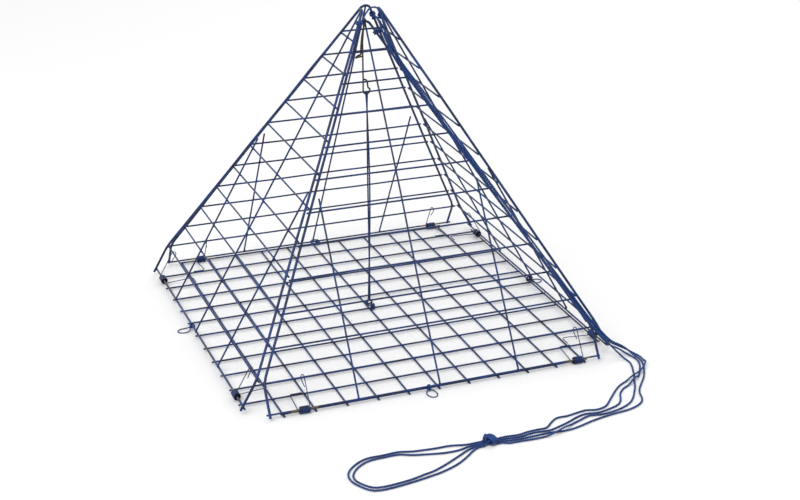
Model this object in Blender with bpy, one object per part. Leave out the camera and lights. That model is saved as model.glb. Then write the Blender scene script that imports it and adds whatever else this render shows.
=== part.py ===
"""Star crab trap: a square mesh base, four hinged mesh points, springs, ties, hook and cord harness.

Metres, +Z up. The origin is the centre of the base on the ground, +X runs to the right along the front
edge and +Y runs to the back. The trap is shown closed, with its four points folded up to a pyramid.
"""
import bpy
import bmesh
from math import atan, cos, hypot, pi, radians, sin
from mathutils import Matrix, Vector

MM = 0.001

# Wires
MESH_WIRE = 1.5 * MM            # coated mesh wire
ROD_WIRE = 2.1 * MM             # outline rod of a point
HOOK_WIRE = 1.4 * MM
SPRING_WIRE = 0.65 * MM
MESH_SIDES = 5                  # an odd number of sides turns a corner towards the wire that is crossed
ROD_SIDES = 7
WELD_DEPTH = 0.2 * MM           # how far crossing wires sink into each other

# Base
CELL = 25.4 * MM
CELLS = 12
EDGE_STUB = 2.5 * MM            # wire left standing past an edge wire

# Hinges
AXIS_OUT = 1.2 * MM             # bottom wire of a point, outside the edge wire
AXIS_RISE = 1.83 * MM           # and above it
LEANS = {"front": radians(56.0), "right": radians(60.4), "back": radians(61.0), "left": radians(60.4)}
SIDES = ("front", "right", "back", "left")

# Points of the star
POINT_GAP = 3.3 * MM            # from a point's rod to the neighbouring point's plane
PATTERN_LEAN = radians(60.4)    # lean for which the outline of all four points is cut
SHOULDER = 23.9 * MM            # height of the lowest cross wire, where the rod bends
ROW_STEP = 25.0 * MM
ROD_FOOT = 3.0 * MM             # rod end standing below the bottom wire
TIP_REACH = 1.2 * MM            # cross wire end standing past the rod
APEX_RADIUS = 4.5 * MM
APEX_STEPS = 8
SHORT_UPRIGHT_PLACE = 67.3 * MM
SHORT_UPRIGHT_END = 10.0 * MM   # free end past its last row

# Springs
SPRING_TURNS = 6
SPRING_STEPS = 8                # points in a turn
SPRING_PITCH = 1.25 * MM
SPRING_PLAY = 0.3 * MM          # between the coil and the wires that it holds
SPRING_ARM_TIP = 10.0 * MM
SPRING_ARM_BEND = 2.0 * MM
SPRING_ARM_RUN = 6.0 * MM       # straight from the base wire on which its tip lies
SPRING_HOOK_RADIUS = 1.4 * MM
SPRING_HOOK_TIP = 7.0 * MM
SPRING_CELLS = 4                # a spring sits past this wire of the base, counted from the middle one
# For each spring: side, half of the edge, place past that wire, which way its base arm turns, and which end
# carries that arm
SPRINGS = {
    "front_left_spring": ("front", -1, 8.9 * MM, 1, -1),
    "front_right_spring": ("front", 1, 19.4 * MM, 1, -1),
    "right_front_spring": ("right", -1, 15.7 * MM, -1, 1),
    "right_back_spring": ("right", 1, 15.7 * MM, -1, 1),
    "back_right_spring": ("back", -1, 18.2 * MM, 1, -1),
    "back_left_spring": ("back", 1, 7.4 * MM, 1, 1),
    "left_back_spring": ("left", -1, 15.7 * MM, 1, 1),
    "left_front_spring": ("left", 1, 12.7 * MM, -1, -1),
}

# Cords
TIE_CORD = 1.0 * MM
HARNESS_CORD = 1.8 * MM
CLOSURE_CORD = 1.5 * MM
CORD_STEP = 24.0 * MM
SNUG = 0.2 * MM                 # cord against the wire that it holds
GAP = 0.3 * MM                  # between neighbouring pieces
TIE_PLACES = {"front": -8.9 * MM, "right": 4.0 * MM, "back": -4.0 * MM, "left": -16.5 * MM}
TIE_LOOP_LENGTH = 11.0 * MM
TIE_LOOP_WIDTH = 8.0 * MM
TIE_KNOT = 1.5 * MM
TIE_LOOP_STEPS = 14
TIE_LOOP_FALL = 6               # a higher power brings the loop down to the floor sooner
TIE_KNOT_RISE = 0.6 * MM
RING_SIDES = 5                  # section of a cord that is tied in a small ring
RING_STEPS = 10
KNOT_SEGMENTS = 8

# Apex knots: side of the rod, and where the lump lies, as shares out past the rod and off the face
KNOT_DROP = 6.2 * MM            # below the centre of the rod's bend
APEX_KNOT = 2.2 * MM
APEX_KNOTS = {"front": (1, 1, 0), "right": (1, 0, -1), "back": (-1, 0, -1), "left": (1, 1, 0)}

# Closing hook and its cord
HOOK_BEND = ROD_WIRE / 2 + GAP + HOOK_WIRE / 2
EYE_HEIGHT = 190.5 * MM
EYE_RADIUS = 2.9 * MM
EYE_X = 2.1 * MM
EYE_NECK = 8.0 * MM             # from the middle of the eye up to the straight shank
SHANK_X = -1.3 * MM
SHANK_END = 18.0 * MM           # below the apex
CLOSURE_LEG_GAP = 2.0 * MM      # between the two legs of the cord at the eye
CLOSURE_STEP = 30.0 * MM
CLOSURE_BOW = Vector((0.8, 0.4, 0.0)) * MM
CLOSURE_KNOT = Vector((0.0, 3.0, 6.2)) * MM
CLOSURE_KNOT_SIZE = Vector((7.0, 6.0, 5.6)) * MM

# Harness knot and handle
HARNESS_KNOT = Vector((0.5, -245.0, 3.9)) * MM
HARNESS_KNOT_SIZE = Vector((10.0, 11.6, 7.8)) * MM
STRAND_SPACING = 2.2 * MM
KNOT_RUN = 4.0 * MM             # straight run of a cord before the knot
HARNESS_LANES = 4


def point_reach(diameter, sides):
    """From the middle of an odd-sided wire to its corner."""
    return diameter / (2 * cos(pi / (2 * sides)))


def flat_reach(diameter, sides):
    """From the middle of an odd-sided wire to the flat opposite that corner."""
    return point_reach(diameter, sides) * cos(pi / sides)


MESH_POINT = point_reach(MESH_WIRE, MESH_SIDES)
MESH_FLAT = flat_reach(MESH_WIRE, MESH_SIDES)
ROD_POINT = point_reach(ROD_WIRE, ROD_SIDES)
ROD_FLAT = flat_reach(ROD_WIRE, ROD_SIDES)

HALF = CELL * CELLS / 2
LOWER_Z = MESH_FLAT
UPPER_Z = LOWER_Z + 2 * MESH_POINT - WELD_DEPTH
UPPER_TOP = UPPER_Z + MESH_FLAT
TOP_EDGE_Z = UPPER_TOP + MESH_POINT - WELD_DEPTH
EDGE_Z = {"front": UPPER_Z, "right": TOP_EDGE_Z, "back": UPPER_Z, "left": TOP_EDGE_Z}
UPRIGHT_OFF = 2 * MESH_POINT - WELD_DEPTH
ROD_OFF = MESH_POINT + ROD_POINT - WELD_DEPTH

SLOPE = cos(PATTERN_LEAN)
FOOT_WIDTH = HALF + AXIS_OUT - POINT_GAP
SHOULDER_WIDTH = FOOT_WIDTH - SHOULDER * SLOPE
TAPER = atan(SLOPE)
APEX_CENTRE = (FOOT_WIDTH - APEX_RADIUS / cos(TAPER)) / SLOPE
TOP_ROW = int((APEX_CENTRE - APEX_RADIUS - SHOULDER) / ROW_STEP)
ROW_CLEAR = MESH_POINT + GAP + APEX_KNOT
KNOT_HEIGHT = max(APEX_CENTRE - KNOT_DROP, SHOULDER + TOP_ROW * ROW_STEP + ROW_CLEAR)
SHORT_UPRIGHT_TOP_ROW = int(((FOOT_WIDTH - SHORT_UPRIGHT_PLACE) / SLOPE - SHOULDER) / ROW_STEP)


def clear_scene():
    for thing in list(bpy.data.objects):
        bpy.data.objects.remove(thing)


def paint(name, colour, roughness, metallic=0.0):
    made = bpy.data.materials.new(name)
    made.use_nodes = True
    shader = made.node_tree.nodes["Principled BSDF"]
    shader.inputs["Base Color"].default_value = (*colour, 1.0)
    shader.inputs["Roughness"].default_value = roughness
    shader.inputs["Metallic"].default_value = metallic
    return made


def add_object(name, data, material=None):
    made = bpy.data.objects.new(name, data)
    if material:
        data.materials.append(material)
    bpy.context.collection.objects.link(made)
    return made


def add_wire(bm, route, diameter, sides, towards):
    """One length of wire along a flat route, with a corner of its section turned towards a direction."""
    reach = point_reach(diameter, sides)
    towards = Vector(towards).normalized()
    rings = []
    for i, place in enumerate(route):
        before = (route[i] - route[i - 1]).normalized() if i else (route[1] - route[0]).normalized()
        after = (route[i + 1] - route[i]).normalized() if i + 1 < len(route) else before
        along = (before + after).normalized()
        side = along.cross(towards).normalized() / along.dot(before)
        rings.append([bm.verts.new(place + side * sin(2 * pi * k / sides) * reach
                                   + towards * cos(2 * pi * k / sides) * reach) for k in range(sides)])
    bm.faces.new(rings[0])
    bm.faces.new(rings[-1][::-1])
    for first, second in zip(rings, rings[1:]):
        for k in range(sides):
            bm.faces.new((first[k - 1], second[k - 1], second[k], first[k]))


def finish_mesh(bm, name, material=None):
    """A mesh object, smooth but for its edges."""
    bmesh.ops.recalc_face_normals(bm, faces=bm.faces)
    mesh = bpy.data.meshes.new(name)
    bm.to_mesh(mesh)
    bm.free()
    mesh.shade_smooth()
    mesh.set_sharp_from_angle(angle=radians(50.0))
    return add_object(name, mesh, material)


def wires_object(name, wires, material=None):
    bm = bmesh.new()
    for wire in wires:
        add_wire(bm, *wire)
    return finish_mesh(bm, name, material)


def weld(body, other):
    """Joins another closed shape to a body; the other shape is only a guide afterwards."""
    join = body.modifiers.new(other.name, "BOOLEAN")
    join.operation = "UNION"
    join.solver = "EXACT"
    join.object = other
    other.hide_render = True
    other.display_type = "WIRE"


def turned(side, along, out, height):
    """A place at one edge: along it to the right seen from outside, out past the edge wire, and up."""
    quarter = SIDES.index(side) * pi / 2
    return Matrix.Rotation(quarter, 3, "Z") @ Vector((along, -HALF - out, height))


def smooth_route(points, step):
    """A smooth curve through the chosen points, read at about one step."""
    ends = [2 * points[0] - points[1]] + points + [2 * points[-1] - points[-2]]
    route = [points[0].copy()]
    for p0, p1, p2, p3 in zip(ends, ends[1:], ends[2:], ends[3:]):
        count = max(1, round((p2 - p1).length / step))
        for k in range(1, count + 1):
            t = k / count
            route.append(0.5 * (2 * p1 + (p2 - p0) * t + (2 * p0 - 5 * p1 + 4 * p2 - p3) * t ** 2
                                + (3 * p1 - p0 - 3 * p2 + p3) * t ** 3))
    return route


def tube(name, route, diameter, resolution, material, closed=False):
    """A round cord or wire as a curve with a bevel and filled caps."""
    curve = bpy.data.curves.new(name, "CURVE")
    curve.dimensions = "3D"
    curve.bevel_depth = diameter / 2
    curve.bevel_resolution = resolution
    curve.resolution_u = 1
    curve.render_resolution_u = 0
    curve.use_fill_caps = True
    line = curve.splines.new("POLY")
    line.points.add(len(route) - 1)
    for spot, place in zip(line.points, route):
        spot.co = (*place, 1.0)
    line.use_cyclic_u = closed
    return add_object(name, curve, material)


def add_tube(bm, route, diameter, sides, closed=False):
    """A tube in a mesh, turned along its route without twist."""
    count = len(route)
    rings = []
    side = None
    for i, place in enumerate(route):
        ahead = route[(i + 1) % count] if closed or i + 1 < count else place
        behind = route[i - 1] if closed or i else place
        along = (ahead - behind).normalized()
        if side is None:
            side = along.orthogonal().normalized()
        side = (side - along * side.dot(along)).normalized()
        up = along.cross(side)
        rings.append([bm.verts.new(place + (side * cos(2 * pi * k / sides) + up * sin(2 * pi * k / sides))
                                   * diameter / 2) for k in range(sides)])
    if closed:
        rings.append(rings[0])
    else:
        bm.faces.new(rings[0])
        bm.faces.new(rings[-1][::-1])
    for first, second in zip(rings, rings[1:]):
        for k in range(sides):
            bm.faces.new((first[k - 1], second[k - 1], second[k], first[k]))


def tube_object(name, route, diameter, sides, closed=False, material=None):
    bm = bmesh.new()
    add_tube(bm, route, diameter, sides, closed)
    return finish_mesh(bm, name, material)


def lump_object(name, centre, size, material=None):
    """A knot's rounded body."""
    bm = bmesh.new()
    bmesh.ops.create_uvsphere(bm, u_segments=KNOT_SEGMENTS, v_segments=KNOT_SEGMENTS - 2, radius=0.5)
    bmesh.ops.scale(bm, vec=size, verts=bm.verts)
    bmesh.ops.translate(bm, vec=centre, verts=bm.verts)
    return finish_mesh(bm, name, material)


def least_gap(route, diameter):
    """Least distance between stretches of one wire that are not neighbours along it."""
    lengths = [0.0]
    for a, b in zip(route, route[1:]):
        lengths.append(lengths[-1] + (b - a).length)
    best = 1.0
    for i, a in enumerate(route):
        for j in range(i + 1, len(route)):
            if lengths[j] - lengths[i] > 6 * diameter:
                best = min(best, (route[j] - a).length - diameter)
    return best


def build_base(coating):
    """Two crossing layers of mesh wire, and edge wires; the four corner cells are left out."""
    down = (0, 0, -1)
    up = (0, 0, 1)
    last = CELLS // 2
    long_end = HALF + EDGE_STUB
    short_end = HALF - CELL + EDGE_STUB
    lower = []
    upper = []
    for k in range(-last + 1, last):
        place = k * CELL
        lower.append(([Vector((place, -long_end, LOWER_Z)), Vector((place, long_end, LOWER_Z))],
                      MESH_WIRE, MESH_SIDES, up))
        upper.append(([Vector((-long_end, place, UPPER_Z)), Vector((long_end, place, UPPER_Z))],
                      MESH_WIRE, MESH_SIDES, down))
    for place in (-HALF, HALF):
        upper.append(([Vector((-short_end, place, UPPER_Z)), Vector((short_end, place, UPPER_Z))],
                      MESH_WIRE, MESH_SIDES, down))
    side_edges = [([Vector((place, -short_end, TOP_EDGE_Z)), Vector((place, short_end, TOP_EDGE_Z))],
                   MESH_WIRE, MESH_SIDES, down) for place in (-HALF, HALF)]
    base = wires_object("base_grid", lower, coating)
    weld(base, wires_object("base_upper_wires", upper))
    weld(base, wires_object("base_side_edges", side_edges))


def rod_width(height):
    """Half the width of a point at a height up its face."""
    return SHOULDER_WIDTH if height < SHOULDER else FOOT_WIDTH - height * SLOPE


def hinge_frame(side):
    """Turns a point's own frame, across it, up its face and out of its face, to where the point stands."""
    quarter = Matrix.Rotation(SIDES.index(side) * pi / 2, 4, "Z")
    axis = Matrix.Translation((0, -HALF - AXIS_OUT, EDGE_Z[side] + AXIS_RISE))
    return quarter @ axis @ Matrix.Rotation(LEANS[side], 4, "X")


def outline_route():
    """The bent rod: up one side, round the apex and down the other."""
    bend = [Vector((APEX_RADIUS * sin(a), APEX_CENTRE + APEX_RADIUS * cos(a), ROD_OFF))
            for a in (-(pi / 2 - TAPER) + (pi - 2 * TAPER) * k / APEX_STEPS for k in range(APEX_STEPS + 1))]
    left = [Vector((-SHOULDER_WIDTH, -ROD_FOOT, ROD_OFF)), Vector((-SHOULDER_WIDTH, SHOULDER, ROD_OFF))]
    right = [Vector((-p.x, p.y, p.z)) for p in reversed(left)]
    return left + bend + right


def build_point(side, coating):
    """One star point: cross wires inside, uprights and the outline rod outside."""
    outwards = (0, 0, 1)
    inwards = (0, 0, -1)
    heights = [0.0] + [SHOULDER + k * ROW_STEP for k in range(TOP_ROW + 1)]
    cross_wires = []
    for height in heights:
        reach = rod_width(height) + ROD_WIRE / 2 + TIP_REACH
        cross_wires.append(([Vector((-reach, height, 0)), Vector((reach, height, 0))],
                            MESH_WIRE, MESH_SIDES, outwards))
    top = APEX_CENTRE + APEX_RADIUS
    short_top = SHOULDER + SHORT_UPRIGHT_TOP_ROW * ROW_STEP + SHORT_UPRIGHT_END
    places = ((-SHORT_UPRIGHT_PLACE, short_top), (0.0, top), (SHORT_UPRIGHT_PLACE, short_top))
    uprights = [([Vector((place, 0, UPRIGHT_OFF)), Vector((place, end, UPRIGHT_OFF))],
                 MESH_WIRE, MESH_SIDES, inwards) for place, end in places]
    frame = hinge_frame(side)
    point = wires_object(side + "_panel", cross_wires, coating)
    rod = wires_object(side + "_outline", [(outline_route(), ROD_WIRE, ROD_SIDES, inwards)])
    stays = wires_object(side + "_uprights", uprights)
    for piece in (point, rod, stays):
        piece.matrix_world = frame
    weld(point, rod)
    weld(point, stays)


def arc(centre, first, second, radius, start, end, steps):
    """Points on an arc that turns from one direction towards a second."""
    return [centre + (first * cos(a) + second * sin(a)) * radius
            for a in (start + (end - start) * k / steps for k in range(steps + 1))]


def spring_route(side, place, tip_turn, base_end):
    """Base arm with its bent tip, coil round both wires of the hinge, arm up the point and its hook."""
    lean = LEANS[side]
    edge = Vector((0.0, 0.0, EDGE_Z[side]))
    axis = edge + Vector((0.0, AXIS_OUT, AXIS_RISE))
    middle = (edge + axis) / 2
    radius = hypot(AXIS_OUT, AXIS_RISE) / 2 + MESH_WIRE / 2 + SPRING_PLAY + SPRING_WIRE / 2
    up_face = Vector((0.0, -cos(lean), sin(lean)))
    off_face = Vector((0.0, sin(lean), cos(lean)))
    across = Vector((1.0, 0.0, 0.0))
    outward = Vector((0.0, 1.0, 0.0))
    upward = Vector((0.0, 0.0, 1.0))
    length = (SPRING_TURNS + (pi - lean) / (2 * pi)) * SPRING_PITCH
    start = place + base_end * length / 2

    over_wires = UPPER_TOP + GAP + SPRING_WIRE / 2
    inner = -CELL + SPRING_ARM_BEND
    bend_centre = Vector((start + tip_turn * SPRING_ARM_BEND, inner, over_wires))
    route = [Vector((start + tip_turn * SPRING_ARM_TIP, inner - SPRING_ARM_BEND, over_wires))]
    route += arc(bend_centre, -outward, -across * tip_turn, SPRING_ARM_BEND, 0.0, pi / 2, 3)
    route.append(Vector((start, -CELL + SPRING_ARM_RUN, over_wires)))

    total = 2 * pi * SPRING_TURNS + pi - lean
    count = round(total / (2 * pi) * SPRING_STEPS)
    for k in range(count + 1):
        angle = -pi / 2 + total * k / count
        route.append(middle + (outward * cos(angle) + upward * sin(angle)) * radius
                     + across * (start - base_end * length * k / count))
    end = start - base_end * length
    face_line = (middle - axis).dot(off_face) + radius
    hook_centre = axis + up_face * SHOULDER + off_face * (face_line - SPRING_HOOK_RADIUS) + across * end
    route += arc(hook_centre, off_face, up_face, SPRING_HOOK_RADIUS, 0.0, pi, 4)
    route.append(hook_centre - off_face * SPRING_HOOK_RADIUS - up_face * SPRING_HOOK_TIP)
    return [turned(side, p.x, p.y, p.z) for p in route]


def build_springs(coating):
    for name, (side, half, past, tip_turn, base_end) in SPRINGS.items():
        route = spring_route(side, half * (SPRING_CELLS * CELL + past), tip_turn, base_end)
        tube(name, route, SPRING_WIRE, 1, coating)
        print(name, "least gap to itself, mm:", round(least_gap(route, SPRING_WIRE) / MM, 3))


def build_tie(side, cord):
    """A cord ring round both wires of the hinge, its knot, and the loop left lying outside."""
    place = TIE_PLACES[side]
    edge = Vector((place, 0.0, EDGE_Z[side]))
    axis = edge + Vector((0.0, AXIS_OUT, AXIS_RISE))
    radius = MESH_POINT + SNUG + TIE_CORD / 2
    along = (axis - edge).normalized()
    across = Vector((0.0, -along.z, along.y))
    half_ring = RING_STEPS // 2
    ring = arc(axis, -across, along, radius, 0.0, pi, half_ring)
    ring += arc(edge, across, -along, radius, 0.0, pi, half_ring)
    knot = edge - across * radius + along * TIE_KNOT_RISE
    knot.z = max(knot.z, TIE_KNOT)
    knot.y += TIE_KNOT / 2
    half_width = TIE_LOOP_WIDTH / 2
    floor_z = TIE_CORD / 2
    loop = [Vector((place + half_width * sin(a), knot.y + TIE_LOOP_LENGTH * (1 - cos(a)) / 2,
                    floor_z + (knot.z - floor_z) * ((1 + cos(a)) / 2) ** TIE_LOOP_FALL))
            for a in (2 * pi * k / TIE_LOOP_STEPS for k in range(TIE_LOOP_STEPS))]
    world_ring = [turned(side, p.x, p.y, p.z) for p in ring]
    world_loop = [turned(side, p.x, p.y, p.z) for p in loop]
    body = tube_object(side + "_tie", world_ring, TIE_CORD, RING_SIDES, True, cord)
    centre = turned(side, knot.x, knot.y, knot.z)
    weld(body, lump_object(side + "_tie_knot", centre, Vector((2, 2, 2)) * TIE_KNOT))
    weld(body, tube_object(side + "_tie_loop", world_loop, TIE_CORD, RING_SIDES, True))


def build_apex_knot(side, cord):
    """A cord ring round the outline rod near its bend, and the knot beside it."""
    frame = hinge_frame(side)
    hand, share_out, share_off = APEX_KNOTS[side]
    outward = Vector((hand * cos(TAPER), sin(TAPER), 0.0))
    face = Vector((0.0, 0.0, 1.0))
    rod = Vector((hand * rod_width(KNOT_HEIGHT), KNOT_HEIGHT, ROD_OFF))
    radius = ROD_POINT + GAP + HARNESS_CORD / 2
    last_step = 2 * pi * (RING_STEPS - 1) / RING_STEPS
    ring = [frame @ p for p in arc(rod, outward, face, radius, 0.0, last_step, RING_STEPS - 1)]
    body = tube_object(side + "_apex_knot", ring, HARNESS_CORD, RING_SIDES, True, cord)
    lump = frame @ (rod + (outward * share_out + face * share_off) * (ROD_POINT + GAP + APEX_KNOT))
    weld(body, lump_object(side + "_apex_lump", lump, Vector((2, 2, 2)) * APEX_KNOT))


def millimetres(*rows):
    return [Vector(row) * MM for row in rows]


LANE_HEIGHTS = (262, 235, 200, 160, 120, 80, 36)
LANE_SPREAD = 1.75 * MM         # from the middle of the bundle to the middle of each strand
LANE_ASIDE = 1.0 * MM           # from the middle of the bundle to the middle of the rod under it
LANE_TURN = pi / 2              # how far the bundle turns on its way down


def strand_lane(first_turn):
    """Where one of the four strands lies in the bundle that runs down the right rod of the front point."""
    frame = hinge_frame("front")
    outward = Vector((cos(TAPER), sin(TAPER), 0.0))
    face = Vector((0.0, 0.0, 1.0))
    over_rod = ROD_OFF + ROD_POINT + GAP + HARNESS_CORD / 2 + LANE_SPREAD
    lane = []
    for height in LANE_HEIGHTS:
        turn = first_turn - LANE_TURN * (LANE_HEIGHTS[0] - height) / (LANE_HEIGHTS[0] - LANE_HEIGHTS[-1])
        middle = Vector((rod_width(height * MM), height * MM, over_rod)) - outward * LANE_ASIDE
        lane.append(frame @ (middle + (outward * cos(turn) + face * sin(turn)) * LANE_SPREAD))
    return lane


GROUND = HARNESS_CORD / 2 / MM + 0.05
OVER = GROUND + HARNESS_CORD / MM + 0.2
STRANDS = {
    "front_strand": millimetres((12.7, 3.2, 244.3))
    + strand_lane(-0.25 * pi)
    + millimetres((136.5, -144.2, 26.8), (143.3, -148.5, 17.8), (150.5, -150.8, 10.6),
                  (159.1, -151.4, 5.5), (164, -154, 2.2), (167.2, -159.5, GROUND), (168.2, -166, GROUND),
                  (166.8, -172.5, GROUND), (163.6, -179, GROUND), (159.2, -186, GROUND),
                  (155.5, -191.5, GROUND), (151.5, -195, OVER), (146, -199, OVER), (140, -202.5, GROUND),
                  (133, -206.5, GROUND),
                  (127, -213, GROUND), (123, -221, GROUND), (117.5, -227.2, GROUND), (108, -231, GROUND),
                  (97, -233.2, GROUND), (87, -231.6, GROUND), (78, -234, GROUND), (70, -237.8, GROUND),
                  (60, -241.6, GROUND), (50, -244.4, GROUND), (38, -243.4, GROUND), (26, -245.2, GROUND),
                  (15, -244.2, GROUND)),
    "right_strand": millimetres((10.3, 5.8, 253.8), (12.9, 1.3, 246.5))
    + strand_lane(0.25 * pi)
    + millimetres((138.6, -143.7, 28), (145.2, -147.4, 19), (151.8, -149.3, 12), (160.2, -149.8, 7),
                  (167, -150.6, 3.2), (171.8, -155.5, GROUND), (173.4, -162, GROUND), (172.9, -168, GROUND),
                  (171.3, -174, OVER), (164.5, -182.5, OVER),
                  (157, -188.5, OVER), (149, -192.8, OVER), (141, -196.2, GROUND), (132, -201.5, GROUND),
                  (123.5, -209.5, GROUND), (115.5, -218, GROUND), (107, -226.3, GROUND),
                  (98, -228.6, GROUND),
                  (90, -226.6, GROUND), (82, -227.6, GROUND), (73, -229.4, GROUND), (64, -229.4, GROUND),
                  (57, -234, GROUND), (50, -240, GROUND), (42, -240.2, GROUND), (34, -240.6, GROUND),
                  (26, -242.2, GROUND), (16, -241.2, GROUND)),
    "back_strand": millimetres((7.5, 10.2, 256.2), (6.6, 6, 257.8), (7.4, 0, 255), (9.5, -4.6, 246),
                               (13, -7.8, 236))
    + strand_lane(1.25 * pi)
    + millimetres((136.4, -146.4, 28), (143.8, -150.6, 19), (150, -153.2, 11.5), (154.8, -156.4, 6),
                  (159, -161, 1.6), (160.5, -167, GROUND), (158.6, -175, GROUND), (153.5, -187, GROUND),
                  (148.6, -196.4, GROUND), (144, -206, GROUND), (139.5, -213, GROUND),
                  (133.6, -221.5, GROUND), (126.5, -228.5, GROUND), (115, -234, GROUND),
                  (100, -236.6, GROUND), (88, -235.2, GROUND), (78, -239, GROUND), (70, -242.2, GROUND),
                  (62, -247.2, OVER), (54, -250.6, OVER), (44, -251.6, GROUND), (34.7, -251.8, GROUND),
                  (22.9, -251.1, GROUND), (14.5, -250.6, GROUND)),
    "left_strand": millimetres((-10.6, -11, 259.6), (-6, -7.5, 264.8), (-1, -6, 268.2), (4.5, -7, 267),
                               (7, -9.5, 259), (8.4, -11, 250), (11.2, -11.9, 240), (14.6, -12.4, 231))
    + strand_lane(0.75 * pi)
    + millimetres((138.5, -145.8, 29.2), (145.7, -149.5, 20.2), (152.5, -151.2, 13.4),
                  (160.9, -151.6, 8.5), (166.6, -153.6, 4.2), (170, -158.5, GROUND), (170.9, -165, GROUND),
                  (169.9, -171.5, GROUND), (167.5, -178, GROUND), (163, -187, GROUND),
                  (157.5, -195.5, GROUND),
                  (151, -203.5, GROUND), (145.5, -210.5, GROUND), (142, -217, GROUND), (139.5, -225, GROUND),
                  (134.5, -231.5, GROUND), (123, -236.8, GROUND), (104, -239.4, GROUND),
                  (88.2, -242.6, GROUND), (79.6, -245.2, GROUND), (68, -248.4, GROUND), (58, -248.8, GROUND),
                  (50, -247.6, GROUND), (36.5, -247.9, GROUND), (23.6, -248.2, GROUND),
                  (14.4, -247.2, GROUND)),
}
STRAND_ORDER = ("right_strand", "front_strand", "left_strand", "back_strand")
HANDLE_LOOPS = {
    "outer_handle_loop": millimetres((-16, -241.6, GROUND), (-28, -238.8, GROUND), (-40, -238.4, GROUND),
                                     (-56, -236.6, GROUND), (-66, -233.8, GROUND), (-78, -234.2, GROUND),
                                     (-90, -234.2, GROUND), (-99, -238, GROUND), (-107, -244.6, GROUND),
                                     (-111, -252, GROUND), (-111.2, -260, GROUND), (-108, -268, GROUND),
                                     (-103, -275, GROUND), (-97, -277.6, GROUND), (-86, -277.5, GROUND),
                                     (-70, -275.4, GROUND), (-59.6, -273.4, GROUND), (-47, -270.5, GROUND),
                                     (-33, -264.8, GROUND), (-22, -257.4, GROUND), (-15, -251.6, GROUND)),
    "inner_handle_loop": millimetres((-17, -245.2, GROUND), (-24, -247, GROUND), (-33.5, -247, GROUND),
                                     (-42.4, -245.4, GROUND), (-51.4, -243.2, GROUND), (-59, -241, GROUND),
                                     (-67, -237.2, GROUND), (-78, -237, GROUND), (-89, -237.6, GROUND),
                                     (-97, -241, GROUND), (-104, -247, GROUND), (-108, -254, GROUND),
                                     (-107.9, -261, GROUND), (-104.5, -267.5, GROUND),
                                     (-100, -272.6, GROUND),
                                     (-94, -274.2, GROUND), (-84, -273.9, GROUND), (-70, -272, GROUND),
                                     (-60, -269.2, GROUND), (-52, -267.2, GROUND), (-40, -261.6, GROUND),
                                     (-27.5, -254.6, GROUND), (-18, -249.2, GROUND)),
}


def knot_row(k):
    """Offset of one of four cords that lie side by side at the harness knot."""
    return (k - (HARNESS_LANES - 1) / 2) * STRAND_SPACING


def build_harness(cord):
    """Four strands into one knot, and the two handle loops that come out of its other side."""
    half = HARNESS_KNOT_SIZE.x / 2 + GAP
    for name, points in STRANDS.items():
        row = HARNESS_KNOT.y - knot_row(STRAND_ORDER.index(name))
        ends = [Vector((HARNESS_KNOT.x + half + KNOT_RUN, row, GROUND * MM)),
                Vector((HARNESS_KNOT.x + half, row, GROUND * MM))]
        tube(name, smooth_route(points + ends, CORD_STEP), HARNESS_CORD, 2, cord)
    for name, rows in (("outer_handle_loop", (3, 0)), ("inner_handle_loop", (2, 1))):
        first, last = (HARNESS_KNOT.y + knot_row(k) for k in rows)
        left = HARNESS_KNOT.x - half
        route = ([Vector((left, first, GROUND * MM)), Vector((left - KNOT_RUN, first, GROUND * MM))]
                 + HANDLE_LOOPS[name]
                 + [Vector((left - KNOT_RUN, last, GROUND * MM)), Vector((left, last, GROUND * MM))])
        tube(name, smooth_route(route, CORD_STEP / 2), HARNESS_CORD, 2, cord)
    bm = bmesh.new()
    lying = Matrix.Rotation(pi / 2, 3, "Y")
    bmesh.ops.create_cone(bm, cap_ends=True, segments=12, radius1=0.5, radius2=0.5, depth=1.0)
    bmesh.ops.rotate(bm, cent=(0, 0, 0), matrix=lying, verts=bm.verts)
    bmesh.ops.scale(bm, vec=HARNESS_KNOT_SIZE, verts=bm.verts)
    bmesh.ops.translate(bm, vec=HARNESS_KNOT, verts=bm.verts)
    finish_mesh(bm, "harness_knot", cord)


# The hook's bends chosen by hand: right, back and up from the eye's middle; right and up the face from the
# top cross wire; right, down the face past that wire, and off the face
HOOK_TAIL = millimetres((-3.2, -2.2, 10.5), (-0.6, -2.2, 9.0))
HOOK_LEG = millimetres((-5.0, 14.0, 0.0), (-8.5, 3.0, 0.0))
HOOK_CURL = millimetres((-9.0, 0.28, 1.6), (-10.2, 0.47, -1.2), (-12.2, 1.51, -1.4), (-13.2, 2.71, -0.2),
                        (-12.0, 2.71, 1.2), (-7.5, 2.31, 1.9))
EYE_TURN = (-0.35 * pi, pi)
BEND_TURN = 0.8 * pi


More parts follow.
